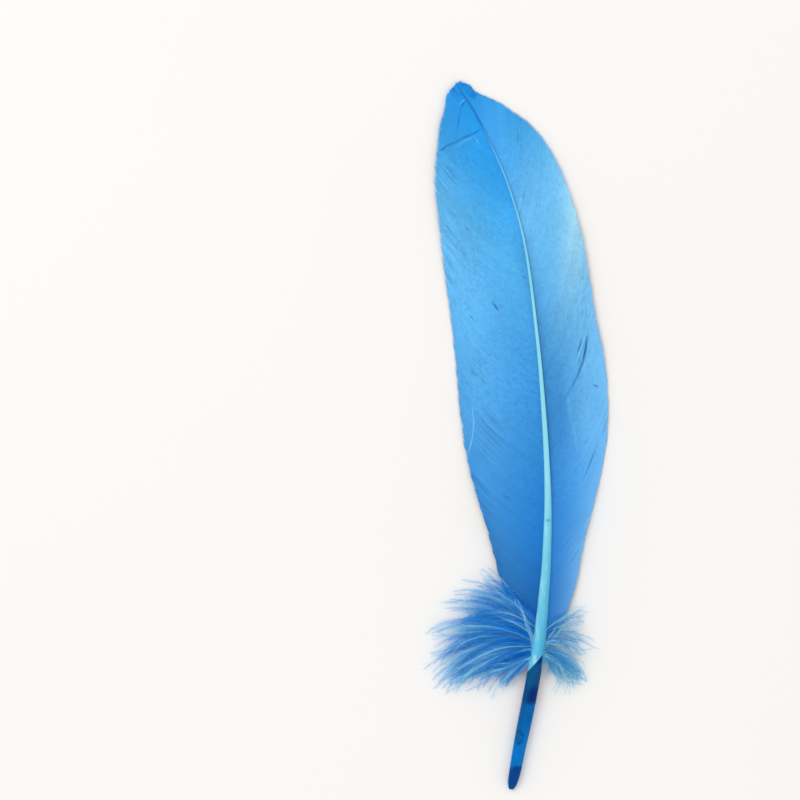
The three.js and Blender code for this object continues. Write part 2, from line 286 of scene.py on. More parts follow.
# The down on each side: strands in each lock, how far apart barbules stand on them, how deep the
# colour is at a strand's root, dye with painted shade where strands crowd, the share of strands that
# are painted paler as if lit, how wavy they are, and the name of its material with its dyes where it
# is deep, between and light
LEFT_DOWN = {
    "locks": LEFT_LOCKS, "strays": LEFT_STRAYS, "seed": 5,
    "strands": 32, "spacing": 0.05, "shade": 0.04, "lit": 0.27, "curl": 0.9,
    "dyes": ("dyed_down", "#0084ec", "#34acf2", "#9ce2fc"),
}
RIGHT_DOWN = {
    "locks": RIGHT_LOCKS, "strays": RIGHT_STRAYS, "seed": 6,
    "strands": 17, "spacing": 0.085, "shade": 0.12, "lit": 0.4, "curl": 2.4,
    "dyes": ("faded_down", "#0684de", "#42ace4", "#a0e0f6"),
}
STRAND_STEPS = 16
STRAND_HALF_WIDTHS = (0.055, 0.022)  # at the root and at the tip
BARBULE_LENGTH = 2.1
BARBULE_HALF_WIDTH = 0.012
BARBULE_LEAN = 44  # degrees
CLUMP_STRANDS = 6
# How strands stray from their lock: what a clump shares, and what each strand has alone
LENGTH_SPREAD = (0.24, 0.1)  # shares of the length
HEADING_SPREAD = (7, 2.5)  # degrees
TURN_SPREAD = (16, 7)  # degrees
CURLS = ((12, 0.5, 1), (9, 1.2, 2.4))  # degrees, and the fewest and most waves on a strand

# Dyes, as they look in soft daylight
VANE_FOOT = "#1262b6"
VANE_LOW = "#2080d4"
VANE_MIDDLE = "#3e9be4"
VANE_UPPER = "#54b6f2"
VANE_TOP = "#2e9ee8"
VANE_TIP = "#1e94e4"
VANE_EDGE = "#60baf4"
VANE_PALE = "#a4e0fa"
VANE_SHADE = "#1565b4"
RACHIS_FOOT = "#62c8ec"
RACHIS_SHADE = "#45a8d4"
RACHIS_MIDDLE = "#90def0"
RACHIS_HIGHLIGHT_FLECK = "#b4ecec"
RACHIS_HIGH = "#62bcec"
RACHIS_TIP = "#227cc8"
RACHIS_SHADOW_EDGE = "#2f7bb3"
QUILL_END = "#004490"
QUILL_BRIGHT = "#0074c4"
QUILL_MIDDLE = "#0064b0"
QUILL_NAVY = "#002e72"
QUILL_TEAL = "#085488"
QUILL_STAIN = "#003a78"
BOARD_DARK = "#fcfaf7"
BOARD_PALE = "#fdfcfa"

# How fine the noises in the dyes are
VANE_CLOUDS = 90
VANE_PATCHES = 70
VANE_MOTTLE = 950
DASHES_ALONG_VANE = 330
DASHES_ALONG_BARB = 16
RACHIS_STREAKS = 700
RACHIS_HIGHLIGHT_FLECKS = 800
QUILL_CLOUDS = 450
DYE_EDGE = 500
QUILL_BANDS = 35  # the length of quill that its bands of dye share, in millimetres


# Numbers and curves
def lerp(a, b, t):
    return a + (b - a) * t


def read(rows, place, column):
    """A smooth value at each place: cubic between rows, whose first number is the place."""
    table = np.array(rows, dtype=float)
    at = table[:, 0]
    value = table[:, column]
    before = np.maximum(np.arange(len(at)) - 1, 0)
    after = np.minimum(np.arange(len(at)) + 1, len(at) - 1)
    slope = (value[after] - value[before]) / (at[after] - at[before])
    i = np.clip(np.searchsorted(at, place) - 1, 0, len(at) - 2)
    span = at[i + 1] - at[i]
    t = np.clip((place - at[i]) / span, 0, 1)
    leaving = value[i] * (2 * t**3 - 3 * t**2 + 1) + slope[i] * span * (t**3 - 2 * t**2 + t)
    arriving = value[i + 1] * (3 * t**2 - 2 * t**3) + slope[i + 1] * span * (t**3 - t**2)
    return leaving + arriving


def change(place, column, step):
    """How much the shaft changes from a step before each place to a step after it."""
    return read(SHAFT, place + step, column) - read(SHAFT, place - step, column)


def smooth_line(points, pieces=40):
    """A smooth curve through points in plan: centripetal Catmull-Rom, as (share, x, y) rows."""
    known = np.array(points, dtype=float)
    known = np.vstack([2 * known[0] - known[1], known, 2 * known[-1] - known[-2]])
    t = np.linspace(0, 1, pieces, endpoint=False)[:, None]
    stretches = []
    for p0, p1, p2, p3 in zip(known, known[1:], known[2:], known[3:]):
        d0, d1, d2 = (math.sqrt(np.linalg.norm(b - a)) for a, b in ((p0, p1), (p1, p2), (p2, p3)))
        leaving = ((p1 - p0) / d0 - (p2 - p0) / (d0 + d1) + (p2 - p1) / d1) * d1
        arriving = ((p2 - p1) / d1 - (p3 - p1) / (d1 + d2) + (p3 - p2) / d2) * d1
        square = -3 * p1 + 3 * p2 - 2 * leaving - arriving
        cube = 2 * p1 - 2 * p2 + leaving + arriving
        stretches.append(p1 + leaving * t + square * t**2 + cube * t**3)
    line = np.vstack(stretches + [known[-2:-1]])
    steps = np.linalg.norm(np.diff(line, axis=0), axis=1)
    share = np.concatenate([[0], np.cumsum(steps)]) / steps.sum()
    return np.column_stack([share, line])


def unit(vectors):
    return vectors / np.maximum(np.linalg.norm(vectors, axis=-1, keepdims=True), 1e-9)


def waves(x, rng, lengths):
    """A smooth random value between about -1 and 1, made of sines of the lengths given."""
    total = np.zeros_like(x, dtype=float)
    for length in lengths:
        total += np.sin(2 * np.pi * (x / length * rng.uniform(0.8, 1.25) + rng.uniform()))
    return total / len(lengths)


def in_frame(points):
    """Millimetres from the quill's end to the frame's metres."""
    return (points - np.array([MIDDLE[0], MIDDLE[1], 0.0])) * MM


# Nodes of both kinds of tree
def add(tree, kind, inputs=None, **settings):
    """A node with its settings, whose inputs are set to a value or joined to another's output."""
    node = tree.nodes.new(kind)
    for name, value in settings.items():
        setattr(node, name, value)
    for key, value in (inputs or {}).items():
        if isinstance(value, bpy.types.NodeSocket):
            tree.links.new(value, node.inputs[key])
        else:
            node.inputs[key].default_value = value
    return node


def made(tree, kind, inputs=None, **settings):
    """The first output of a new node."""
    return add(tree, kind, inputs, **settings).outputs[0]


def calculate(tree, operation, a, b=0.0, c=0.0):
    return made(tree, "ShaderNodeMath", {0: a, 1: b, 2: c}, operation=operation)


def times(tree, a, b):
    return calculate(tree, "MULTIPLY", a, b)


def stepped(tree, value, low, high):
    """0 below the low value, 1 above the high one, and smooth between them."""
    return made(tree, "ShaderNodeMapRange", {"Value": value, "From Min": low, "From Max": high},
                interpolation_type="SMOOTHSTEP")


# Materials
def dye(code):
    """A colour as seen, such as #53a6e6, as the light that it gives back."""
    seen = [int(code[i : i + 2], 16) / 255 for i in (1, 3, 5)]
    light = [s / 12.92 if s <= 0.04045 else ((s + 0.055) / 1.055) ** 2.4 for s in seen]
    return (*light, 1)


def new_material(name, roughness, specular):
    """A new material, its tree, and the input for its colour."""
    material = bpy.data.materials.new(name)
    material.use_nodes = True
    tree = material.node_tree
    tree.nodes.clear()
    surface = add(tree, "ShaderNodeBsdfPrincipled", {
        "Roughness": roughness, "Specular IOR Level": specular,
    })
    add(tree, "ShaderNodeOutputMaterial", {"Surface": surface.outputs[0]})
    return material, tree, surface.inputs["Base Color"]


def value_of(tree, name):
    return add(tree, "ShaderNodeAttribute", attribute_name=name).outputs["Fac"]


def blend(tree, factor, a, b, kind="MIX"):
    """Two colours, or dyes given by their codes, mixed by a factor."""
    a, b = (dye(colour) if isinstance(colour, str) else colour for colour in (a, b))
    return add(
        tree, "ShaderNodeMix", {0: factor, 6: a, 7: b}, data_type="RGBA", blend_type=kind
    ).outputs[2]


def tint(tree, colour, grey):
    """A colour made darker or lighter by a grey."""
    return blend(tree, 1, colour, grey, "MULTIPLY")


def ramp(tree, factor, stops):
    """Dyes or greys read along a factor: stops are (place, dye or grey)."""
    node = add(tree, "ShaderNodeValToRGB", {"Fac": factor})
    marks = node.color_ramp.elements
    while len(marks) < len(stops):
        marks.new(0.5)
    for mark, (place, colour) in zip(marks, stops):
        mark.position = place
        mark.color = dye(colour) if isinstance(colour, str) else (colour, colour, colour, 1)
    return node.outputs["Color"]


def noise(tree, scale, detail=3.0, stretch=(1, 1, 1)):
    """Cloudy noise in the piece's own space, whose lumps are stretched along an axis."""
    place = add(tree, "ShaderNodeTexCoord").outputs["Object"]
    place = made(tree, "ShaderNodeMapping", {"Vector": place, "Scale": stretch})
    return made(tree, "ShaderNodeTexNoise", {"Vector": place, "Scale": scale, "Detail": detail})


def strokes(tree, plan, rows):
    """How strongly a point in plan lies on any of the strokes."""
    total = 0.0
    for x0, y0, x1, y1, half_width, strength in rows:
        mapped = made(tree, "ShaderNodeMapping", {
            "Vector": plan,
            "Location": ((x0 + x1) / 2, (y0 + y1) / 2, 0),
            "Rotation": (0, 0, math.atan2(y1 - y0, x1 - x0)),
            "Scale": (math.hypot(x1 - x0, y1 - y0) / 2, half_width, 1),
        }, vector_type="TEXTURE")
        spot = add(tree, "ShaderNodeTexGradient", {"Vector": mapped}, gradient_type="SPHERICAL")
        total = calculate(tree, "MULTIPLY_ADD", spot.outputs[1], strength, total)
    return calculate(tree, "MINIMUM", total, 1)


def place_in_plan(tree):
    """A point's place in millimetres from the quill's end, flattened onto the table."""
    place = add(tree, "ShaderNodeTexCoord").outputs["Object"]
    axes = add(tree, "ShaderNodeSeparateXYZ", {"Vector": place}).outputs
    aside = calculate(tree, "MULTIPLY_ADD", axes["X"], 1 / MM, MIDDLE[0])
    along = calculate(tree, "MULTIPLY_ADD", axes["Y"], 1 / MM, MIDDLE[1])
    plan = made(tree, "ShaderNodeCombineXYZ", {"X": aside, "Y": along})
    return aside, along, plan


def vane_material():
    """Dyed barbs: deeper beside the shaft and at the foot, paler at the edge, each its own tone, with
    painted light and shade in their tones and strokes.
    """
    material, tree, base = new_material("dyed_vane", 0.6, 0.1)
    place = value_of(tree, "place")
    reach = value_of(tree, "reach")
    inner = ramp(tree, place, (
        (0, VANE_FOOT), (0.2, VANE_LOW), (0.48, VANE_MIDDLE),
        (0.66, VANE_UPPER), (0.84, VANE_TOP), (1, VANE_TIP),
    ))
    worn = ramp(tree, place, ((0, 0.1), (0.25, 0.42), (0.55, 1), (0.7, 0.25), (0.8, 0)))
    rim = times(tree, stepped(tree, reach, 0, 0.8), worn)
    colour = blend(tree, rim, inner, VANE_EDGE)
    colour = blend(tree, value_of(tree, "wash"), colour, VANE_PALE)
    cloud = ramp(tree, noise(tree, VANE_CLOUDS), ((0.3, 0.94), (0.7, 1.04)))
    colour = tint(tree, colour, cloud)

    # Short dark and pale dashes along the barbs, in patches, and a fine mottle: both fade out at
    # the foot and the tip
    on_barbs = made(tree, "ShaderNodeCombineXYZ", {
        "X": times(tree, place, DASHES_ALONG_VANE), "Y": times(tree, reach, DASHES_ALONG_BARB),
    })
    dashes = made(tree, "ShaderNodeTexNoise", {"Vector": on_barbs, "Scale": 1, "Detail": 2})
    dashes = ramp(tree, dashes, ((0.3, 0.72), (0.43, 1), (0.6, 1), (0.74, 1.16)))
    grain = times(tree, stepped(tree, place, 0.08, 0.4), stepped(tree, place, 0.96, 0.8))
    patches = times(tree, stepped(tree, noise(tree, VANE_PATCHES, 2), 0.38, 0.58), grain)
    colour = blend(tree, patches, colour, tint(tree, colour, dashes))
    mottle = ramp(tree, noise(tree, VANE_MOTTLE, 2), ((0.32, 0.93), (0.5, 1), (0.68, 1.05)))
    colour = blend(tree, grain, colour, mottle, "MULTIPLY")

    # Each barb's tone makes it lighter or darker: it carries painted light and shade from the vane's
    # light table and its groove, as well as its own random tone and flaws
    light = ramp(tree, value_of(tree, "tone"), ((0, 0.45), (0.5, 1), (1, 1.45)))
    colour = tint(tree, colour, light)
    plan = place_in_plan(tree)[2]
    # Painted shade from the shade strokes, then painted highlights and pale barb lines from the pale ones
    colour = blend(tree, strokes(tree, plan, PAINTED_SHADE_STROKES), colour, VANE_SHADE)
    colour = blend(tree, strokes(tree, plan, PALE_AND_HIGHLIGHT_STROKES), colour, VANE_PALE)
    tree.links.new(colour, base)
    return material


def shaft_material():
    """Horn: a pale turquoise rachis that turns deep blue past a slanting line, and a blotchy quill."""
    material, tree, base = new_material("dyed_shaft", 0.42, 0.06)
    aside, along, plan = place_in_plan(tree)
    flank = value_of(tree, "flank")
    wobble = calculate(tree, "MULTIPLY_ADD", noise(tree, DYE_EDGE), 2.4, -1.2)

    # The rachis: its right flank low down is painted in shade, with a duller dye there too, and a dull
    # mark crosses it once
    rachis = ramp(tree, calculate(tree, "DIVIDE", along, VANE_END), (
        (0.19, RACHIS_FOOT), (0.44, RACHIS_MIDDLE), (0.72, RACHIS_MIDDLE),
        (0.905, RACHIS_HIGH), (0.955, RACHIS_TIP), (1, RACHIS_TIP),
    ))
    low = calculate(tree, "SUBTRACT", 1, stepped(tree, along, 40, 95))
    shade = times(tree, stepped(tree, flank, -0.5, 0.6), low)
    rachis = blend(tree, times(tree, shade, 0.6), rachis, RACHIS_SHADE)
    streaks = noise(tree, RACHIS_STREAKS, 2, (1, 0.06, 1))
    rachis = tint(tree, rachis, ramp(tree, streaks, ((0.3, 0.94), (0.7, 1.04))))
    # Painted highlight specks on its left flank low down, the side that the light falls on
    highlight_flecks = stepped(tree, noise(tree, RACHIS_HIGHLIGHT_FLECKS, 3, (1, 0.25, 1)), 0.5, 0.66)
    lit = times(tree, stepped(tree, flank, 0.5, -0.2), low)
    highlight_flecks = times(tree, highlight_flecks, times(tree, lit, 0.6))
    rachis = blend(tree, highlight_flecks, rachis, RACHIS_HIGHLIGHT_FLECK)
    rachis = blend(tree, strokes(tree, plan, RACHIS_MARK), rachis, RACHIS_SHADE)
    # A painted shadow along its right edge higher up
    rim = times(tree, stepped(tree, flank, 0.45, 0.9), stepped(tree, along, 62, 82))
    rachis = blend(tree, rim, rachis, RACHIS_SHADOW_EDGE)

    # The quill is dyed in bands: a dark end, a bright stretch, a navy band and a teal neck
    shifted = calculate(tree, "ADD", along, wobble)
    quill = ramp(tree, calculate(tree, "DIVIDE", shifted, QUILL_BANDS), (
        (0, QUILL_END), (0.145, QUILL_END), (0.165, QUILL_BRIGHT),
        (0.35, QUILL_BRIGHT), (0.52, QUILL_MIDDLE), (0.6, QUILL_MIDDLE),
        (0.635, QUILL_NAVY), (0.7, QUILL_NAVY), (0.76, QUILL_TEAL),
        (0.86, QUILL_TEAL), (0.93, QUILL_NAVY),
    ))
    cloud = noise(tree, QUILL_CLOUDS, 3, (1, 0.5, 1))
    quill = tint(tree, quill, ramp(tree, cloud, ((0.3, 0.86), (0.5, 1), (0.7, 1.12))))
    quill = blend(tree, strokes(tree, plan, QUILL_RING), quill, QUILL_STAIN)
    above = times(tree, stepped(tree, shifted, 11.6, 12.6), stepped(tree, flank, 0.1, -0.6))
    quill = blend(tree, times(tree, above, 0.6), quill, QUILL_TEAL)

    # The line where the deep dye begins slants up to the right, but for a sliver at that edge
    sliver = times(tree, stepped(tree, flank, 0.78, 0.86), -2.9)
    slant = calculate(tree, "ADD", calculate(tree, "MULTIPLY_ADD", aside, 1.12, 24.9), sliver)
    slant = calculate(tree, "MULTIPLY_ADD", wobble, 0.14, slant)
    past = calculate(tree, "SUBTRACT", slant, along)
    colour = blend(tree, stepped(tree, past, -0.2, 0.2), rachis, quill)
    tree.links.new(colour, base)
    return material


def down_material(name, deep, middle, light):
    """Loose dyed down: fine barbules, deep where they crowd together, dye with painted shade there, on
    paler barbs.
    """
    material, tree, base = new_material(name, 0.7, 0.05)
    tone = value_of(tree, "tone")
    fluff = ramp(tree, tone, ((0, deep), (0.7, middle), (1, light)))
    barb = blend(tree, tone, middle, light)
    tree.links.new(blend(tree, value_of(tree, "barb"), fluff, barb), base)
    return material


# Geometry Nodes trees
def new_tree(name, inputs):
    """An empty tree with a geometry going in and out, and the named inputs beside it."""
    tree = bpy.data.node_groups.new(name, "GeometryNodeTree")
    for label, kind in (("Geometry", "NodeSocketGeometry"), *inputs):
        tree.interface.new_socket(label, in_out="INPUT", socket_type=kind)
    tree.interface.new_socket("Geometry", in_out="OUTPUT", socket_type="NodeSocketGeometry")
    return tree, add(tree, "NodeGroupInput").outputs


def close_tree(tree, shape, material):
    """Ends a tree: instances made real, flat shading, and the material given."""
    real = made(tree, "GeometryNodeRealizeInstances", {"Geometry": shape})
    shaded = made(tree, "GeometryNodeSetShadeSmooth", {"Geometry": real, "Shade Smooth": False})
    dressed = made(tree, "GeometryNodeSetMaterial", {"Geometry": shaded, "Material": material})
    add(tree, "NodeGroupOutput", {"Geometry": dressed})


def named(tree, name, kind="FLOAT"):
    return made(tree, "GeometryNodeInputNamedAttribute", {"Name": name}, data_type=kind)


def faced_curves(tree, shape):
    """Curves from edges, each facing the way that its points' own values say."""
    curves = made(tree, "GeometryNodeMeshToCurve", {"Mesh": shape})
    facing = named(tree, "facing", "FLOAT_VECTOR")
    return made(tree, "GeometryNodeSetCurveNormal", {"Curve": curves, "Normal": facing}, mode="FREE")


def sweep(tree, curves, section):
    """A section swept along curves, as wide at each point as its own half width."""
    return made(tree, "GeometryNodeCurveToMesh", {
        "Curve": curves, "Profile Curve": section, "Scale": named(tree, "half_width"),
        "Fill Caps": True,
    })


def triangle_section(tree):
    return made(tree, "GeometryNodeCurvePrimitiveCircle", {"Resolution": 3, "Radius": 1})


def barb_tree():
    """Barbs with a flat underside and a low ridge on top, swept along curves."""
    tree, given = new_tree("Barbs", (("Material", "NodeSocketMaterial"),))
    curves = faced_curves(tree, given["Geometry"])
    section = made(tree, "GeometryNodeTransform", {
        "Geometry": triangle_section(tree), "Scale": (BARB_RIDGE, 1, 1),
    })
    close_tree(tree, sweep(tree, curves, section), given["Material"])
    return tree


def down_tree():
    """Strands of down: a thin barb along each curve, with fine barbules standing out all along it."""
    tree, given = new_tree("Down", (
        ("Spacing", "NodeSocketFloat"), ("Seed", "NodeSocketInt"), ("Material", "NodeSocketMaterial"),
    ))
    curves = faced_curves(tree, given["Geometry"])
    barbs = sweep(tree, curves, triangle_section(tree))
    barbs = made(tree, "GeometryNodeStoreNamedAttribute", {"Geometry": barbs, "Name": "barb", "Value": 1})
    points = add(
        tree, "GeometryNodeCurveToPoints", {"Curve": curves, "Length": given["Spacing"]}, mode="LENGTH"
    ).outputs

    def random(low, high, offset):
        seed = calculate(tree, "ADD", given["Seed"], float(offset))
        ends = {2: low, 3: high, "Seed": seed}
        return add(tree, "FunctionNodeRandomValue", ends, data_type="FLOAT").outputs[1]

    def vector(operation, a, b):
        key = "Scale" if operation == "SCALE" else 1
        return made(tree, "ShaderNodeVectorMath", {0: a, key: b}, operation=operation)

    # Each barbule leans forward from its barb, to a random side, with its broad face upward
    turn = random(0, 2 * math.pi, 0)
    lean = times(tree, math.radians(BARBULE_LEAN), random(0.6, 1.35, 1))
    side = vector("CROSS_PRODUCT", points["Tangent"], points["Normal"])
    out = vector(
        "ADD",
        vector("SCALE", points["Normal"], times(tree, calculate(tree, "SINE", turn), 0.7)),
        vector("SCALE", side, calculate(tree, "COSINE", turn)),
    )
    heading = vector(
        "ADD",
        vector("SCALE", points["Tangent"], calculate(tree, "COSINE", lean)),
        vector("SCALE", out, calculate(tree, "SINE", lean)),
    )
    turned = made(tree, "FunctionNodeAlignRotationToVector", {"Vector": heading}, axis="X")
    upward = made(tree, "ShaderNodeCombineXYZ", {
        "X": random(-0.6, 0.6, 3), "Y": random(-0.6, 0.6, 4), "Z": 0.7,
    })
    turned = made(
        tree, "FunctionNodeAlignRotationToVector", {"Rotation": turned, "Vector": upward},
        axis="Z", pivot_axis="X",
    )
    length = times(tree, BARBULE_LENGTH * MM, random(0.5, 1.2, 2))
    length = times(tree, length, named(tree, "fluff"))
    size = made(tree, "ShaderNodeCombineXYZ", {"X": length, "Y": BARBULE_HALF_WIDTH * MM, "Z": 1})

    # A barbule is one thin triangle, from its base on the barb to its point
    blade = made(tree, "GeometryNodeMeshCircle", {"Vertices": 3, "Radius": 1}, fill_type="NGON")
    blade = made(tree, "GeometryNodeTransform", {
        "Geometry": blade, "Translation": (1 / 3, 0, 0), "Scale": (2 / 3, 2 / math.sqrt(3), 1),
    })
    barbules = made(tree, "GeometryNodeInstanceOnPoints", {
        "Points": points["Points"], "Instance": blade, "Rotation": turned, "Scale": size,
    })
    both = add(tree, "GeometryNodeJoinGeometry")
    for part in (barbules, barbs):
        tree.links.new(part, both.inputs[0])
    close_tree(tree, both.outputs[0], given["Material"])
    return tree


def new_object(name, data):
    """An object of the scene that holds a mesh, a lamp or a camera."""
    thing = bpy.data.objects.new(name, data)
    bpy.context.collection.objects.link(thing)
    return thing


def store(mesh, key, value):
    """Gives each point of a mesh a value of its own, or a vector."""
    vector = value.ndim == 3
    layer = mesh.attributes.new(key, "FLOAT_VECTOR" if vector else "FLOAT", "POINT")
    layer.data.foreach_set("vector" if vector else "value", value.astype(float).ravel())


def polylines(name, points, values):
    """An object of open lines, one for each row of points, with a value of each kind at each point."""
    count, steps = points.shape[:2]
    mesh = bpy.data.meshes.new(name)
    mesh.vertices.add(count * steps)
    mesh.vertices.foreach_set("co", in_frame(points).ravel())
    index = np.arange(count * steps).reshape(count, steps)
    pairs = np.stack([index[:, :-1], index[:, 1:]], axis=-1)
    mesh.edges.add(count * (steps - 1))
    mesh.edges.foreach_set("vertices", pairs.ravel())
    for key, value in values.items():
        store(mesh, key, value)
    mesh.update()
    return new_object(name, mesh)


def grow(piece, tree, values):
    """Runs a tree on a piece, with its inputs set, and keeps what it makes as a plain mesh."""
    modifier = piece.modifiers.new(tree.name, "NODES")
    modifier.node_group = tree
    for socket in tree.interface.items_tree:
        if socket.in_out == "INPUT" and socket.name in values:
            modifier[socket.identifier] = values[socket.name]
    graph = bpy.context.evaluated_depsgraph_get()
    grown = bpy.data.meshes.new_from_object(
        piece.evaluated_get(graph), preserve_all_data_layers=True, depsgraph=graph
    )
    piece.modifiers.remove(modifier)
    lines = piece.data
    piece.data = grown
    bpy.data.meshes.remove(lines)
    return piece


def keep_off_table(piece, height=0.03):
    """Lifts whatever a piece has below the table's top."""
    flat = np.empty(len(piece.data.vertices) * 3)
    piece.data.vertices.foreach_get("co", flat)
    flat[2::3] = np.maximum(flat[2::3], height * MM)
    piece.data.vertices.foreach_set("co", flat)
    piece.data.update()


def dress(piece):
    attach(piece, "root")
    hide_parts("feather")


# The vanes
def barb_grid(vane, place, reach):
    """Points of a vane's barbs: a row for each place along it, a column for each reach to the edge."""
    y = lerp(VANE_START, VANE_END, place)
    step = 0.5
    along = unit(np.stack([change(y, BEND, step), np.full_like(y, 2 * step)], axis=-1))
    right = np.stack([along[:, 1], -along[:, 0]], axis=-1)
    root = np.stack([read(SHAFT, y, BEND), y], axis=-1)
    share = place + BARB_LEAD * np.sin(np.pi * place) + FOOT_LEAD * (1 - place)
    line = smooth_line(vane["edge"])
    end = np.stack([np.interp(share, line[:, 0], line[:, k]) for k in (1, 2)], axis=-1)
    span = end - root
    bend = root + along * (BARB_BEND[0] * np.sum(span * along, axis=1))[:, None]
    bend += right * (BARB_BEND[1] * np.sum(span * right, axis=1))[:, None]
    t = reach[..., None]
    plan = (1 - t) ** 2 * root[:, None] + 2 * t * (1 - t) * bend[:, None] + t**2 * end[:, None]

    # It falls from the shaft's side to the edge, which waves, a little faster near the shaft
    beside = np.minimum(plan[..., 1], VANE_END)
    top = read(SHAFT, beside, HEIGHT) + ROOT_RISE * read(SHAFT, beside, HALF_DEPTH)
    wave = np.sin((plan[..., 1] - VANE_START) / EDGE_WAVE[1] + vane["wave_start"])
    low = EDGE_REST + EDGE_WAVE[0] * (1 + wave)
    aside = np.clip(1.16 * reach - 0.16 * reach**2, 0, 1)
    height = lerp(top, low, aside**CAMBER)
    return np.concatenate([plan, height[..., None]], axis=-1)


def tousled(place):
    """How tousled barbs are: from 0 to 1 at the vane's very end."""
    return np.clip((place - TOUSLE_START) / TOUSLE_LENGTH, 0, 1)


def clumps(count, rng, smallest, largest):
    """Barbs in bunches of random size: for each barb its bunch, and its place in it from -1 to 1."""
    bunch = np.zeros(count, dtype=int)
    place = np.zeros(count)
    first = 0
    number = 0
    while first < count:
        size = min(int(rng.integers(smallest, largest)), count - first)
        bunch[first : first + size] = number
        place[first : first + size] = np.linspace(-1, 1, size) if size > 1 else 0
        first += size
        number += 1
    return bunch, place


def barb_lengths(vane, place, rng):
    """Each barb's length as a share of the way to the edge, and which of them are loose."""
    count = len(place)
    ragged = waves(place, rng, (0.03, 0.011)) - 0.6 + 0.5 * rng.standard_normal(count)
    broken = (rng.uniform(size=count) > WHOLE_BARBS) * rng.uniform(0.02, 0.06, count)
    first, last, chance, extra = vane["loose"]
    loose = (place > first) & (place < last) & (rng.uniform(size=count) < chance)
    longer = loose * rng.uniform(0.3, 1, count) * extra
    return 1 + vane["ragged"] * ragged - broken + longer, loose


def parting(vane, place, share, loose, rng):
    """How far each point of each barb is pushed along the vane, in millimetres."""
    count = len(place)
    shift = np.zeros_like(share)
    for at, depth, opening, closed in vane["splits"]:
        run = np.clip((share - (1 - depth)) / depth, 0, 1)
        spread = np.sin(np.pi * run**0.8) if closed else run
        near = np.exp(-np.abs(place - at) / SPLIT_SPREAD)[:, None]
        shift += np.sign(place - at)[:, None] * 0.5 * opening * spread * near
    bunch, inside = clumps(count, rng, *BUNCH_SIZES)
    draw = rng.uniform(0.2, 1, bunch.max() + 1)[bunch]
    shift -= BUNCHING * (inside * draw)[:, None] * share**4
    drift = waves(place, rng, (0.12, 0.05, 0.021)) * np.clip(1.05 - place, 0, 1)
    shift += 0.35 * drift[:, None] * share**2
    outer = np.clip((share - 0.7) / 0.3, 0, 1)
    shift += (loose * rng.uniform(0.2, 1.2, count))[:, None] * outer**2
    tousle = tousled(place) * rng.standard_normal(count)
    return shift + 0.4 * tousle[:, None] * share**2


def fray(vane, points, rng):
    """How strongly the barbs stand apart at each point, above 0 or below it for each barb."""
    total = np.zeros(points.shape[:2])
    for x, y, half_x, half_y, strength in vane["frays"]:
        gap = ((points[..., 0] - x) / half_x) ** 2 + ((points[..., 1] - y) / half_y) ** 2
        total += strength * np.clip(1.3 - gap, 0, 1)
    apart = rng.standard_normal(len(points))[:, None]
    return total * np.clip(apart, -1.6, 1.6)


def over_vane(rows, place, share):
    """A value all over a vane, from its places, and its values beside the shaft and at the edge."""
    at, beside, outside = np.array(rows).T
    inner = np.interp(place, at, beside)[:, None]
    outer = np.interp(place, at, outside)[:, None]
    return lerp(inner, outer, share)


def web(name, side, points, values, material):
    """The film of hooked barbules between the barbs: a thin sheet that stops short of their ends."""
    kept = (slice(0, None, 2), slice(0, BARB_STEPS))  # every other barb, and all but its last point
    grid = points[kept]
    count, steps = grid.shape[:2]
    index = np.arange(count * steps).reshape(count, steps)
    faces = np.stack([index[:-1, :-1], index[1:, :-1], index[1:, 1:], index[:-1, 1:]], axis=-1)
    if side > 0:
        faces = faces[..., ::-1]
    mesh = bpy.data.meshes.new(name)
    mesh.from_pydata(in_frame(grid.reshape(-1, 3)).tolist(), [], faces.reshape(-1, 4).tolist())
    for key in ("tone", "reach", "place", "wash"):
        store(mesh, key, values[key][kept])
    mesh.shade_smooth()
    mesh.materials.append(material)
    dress(new_object(name, mesh))


def tip_barbs(rng):
    """Short tousled barbs that fan out over the shaft's tip, between the two vanes."""
    share = np.linspace(0, 1, BARB_STEPS + 1)[None, :]
    fan = np.sort(rng.uniform(0, 1, TIP_BARBS))[:, None]
    middle = np.sin(np.pi * fan)
    y = 171.8 + 3.6 * middle
    x = read(SHAFT, y, BEND)
    heading = lerp(*TIP_HEADINGS, fan) + 9 * rng.standard_normal((TIP_BARBS, 1))
    turn = np.radians(16) * rng.standard_normal((TIP_BARBS, 1))
    heading = np.radians(heading) + turn * share
    length = rng.uniform(2.2, 3.9, (TIP_BARBS, 1)) - 1.7 * middle
    plan = np.stack([x + length * share * np.cos(heading), y + length * share * np.sin(heading)], axis=-1)
    rng.uniform(0.8, 1.25, (TIP_BARBS, 1))  # unused: it keeps later draws the same
    height = 0.85 + 0.5 * rng.uniform(size=(TIP_BARBS, 1)) * share - 0.3 * share**2
    points = np.concatenate([plan, height[..., None]], axis=-1)
    level = np.ones(points.shape[:2])
    return points, {
        "half_width": 0.17 * np.clip((1.004 - share) / 0.3, 0.15, 1) * level * MM,
        "facing": np.zeros_like(points) + UPWARD,
        "tone": np.clip(0.48 + 0.07 * rng.standard_normal((TIP_BARBS, 1)), 0, 1) * level,
        "reach": 0.6 * share * level,
        "place": level,
        "wash": 0 * level,
    }


def joined(lines, more):
    """Two sets of lines, each with its points and its values, as one."""
    points = np.concatenate([lines[0], more[0]])
    return points, {key: np.concatenate([lines[1][key], more[1][key]]) for key in lines[1]}


